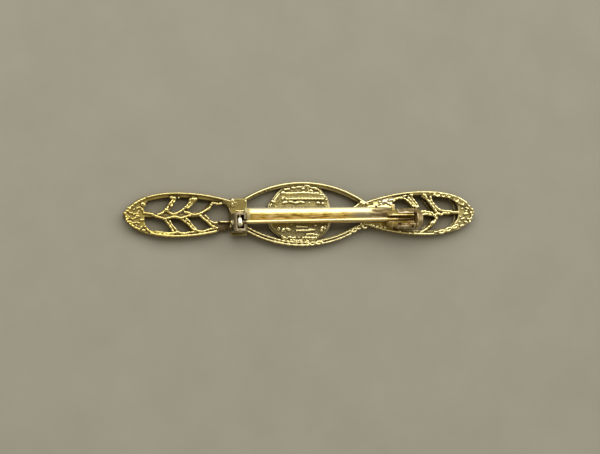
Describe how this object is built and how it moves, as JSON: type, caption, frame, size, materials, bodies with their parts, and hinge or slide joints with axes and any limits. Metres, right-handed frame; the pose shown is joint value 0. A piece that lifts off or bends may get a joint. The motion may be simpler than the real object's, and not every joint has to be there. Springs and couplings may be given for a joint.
{
  "type": "bar brooch",
  "caption": "Gold-plated openwork bar brooch with two veined leaves, a pointed centre oval, a ribbed round plate, and a hinged pin with a safety catch on its back.",
  "frame": {"origin": "middle of the bar, on the plane of its front face, which it rests on", "axes": "+X along the bar from the hinge to the catch, +Y across the bar, +Z from the front up to the pin on the back"},
  "size_m": [0.0584, 0.0106, 0.0054],
  "materials": {
    "gold_plate": "polished yellow gold plate over a cast bar, with a fine cast texture",
    "pin_metal": "polished pale gold plate"
  },
  "bodies": {
    "bar": {"brooch_bar": "gold_plate", "hinge_rivet": "pin_metal"},
    "pin": {"pin_stem": "pin_metal"},
    "collar": {"catch_collar": "pin_metal"}
  },
  "joints": [
    {"name": "pin_hinge", "type": "hinge", "parent": "bar", "child": "pin", "pos_m": [-0.01085, -0.0014, 0.0037], "axis": [0, -1, 0], "range_deg": [0, 90]},
    {"name": "collar_turn", "type": "hinge", "parent": "bar", "child": "collar", "pos_m": [0.0165, -0.00106, 0.0037], "axis": [1, 0, 0], "range_deg": [0, 90]}
  ]
}
